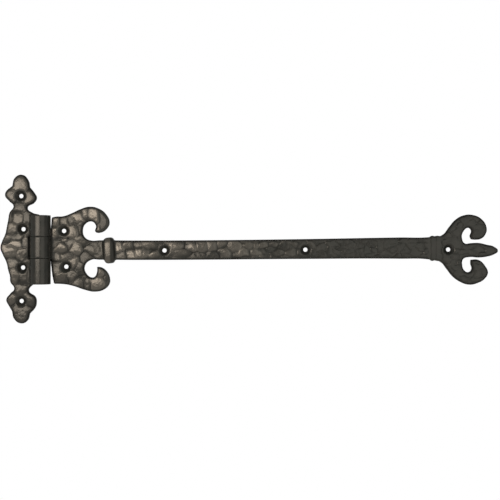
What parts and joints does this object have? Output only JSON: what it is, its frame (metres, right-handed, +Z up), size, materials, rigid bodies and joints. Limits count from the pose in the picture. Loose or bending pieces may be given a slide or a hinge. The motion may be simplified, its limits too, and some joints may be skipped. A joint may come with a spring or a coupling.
{
  "type": "strap hinge",
  "caption": "Black cast-iron strap hinge: a plate with trefoil ends, a knuckle barrel, and a long strap with scrolls, a collar and a fleur-de-lis end.",
  "frame": {"origin": "on the jamb plate's back face, in the middle of its four screw holes", "axes": "+X along the strap from the pin to the fleur-de-lis, +Y into the door and its frame, +Z up along the pin"},
  "size_m": [0.4555, 0.0184, 0.1363],
  "materials": {
    "jamb_iron": "satin black paint over a hammered casting",
    "strap_iron": "satin black paint over a hammered casting",
    "pin_steel": "black steel, hammered over at both ends"
  },
  "bodies": {
    "jamb": {"jamb_plate": "jamb_iron", "hinge_pin": "pin_steel"},
    "leaf": {"strap": "strap_iron"}
  },
  "joints": [
    {"name": "strap_swing", "type": "hinge", "parent": "jamb", "child": "leaf", "pos_m": [0.0175, -0.0092, 0], "axis": [0, 0, -1], "range_deg": [-60, 180]}
  ]
}
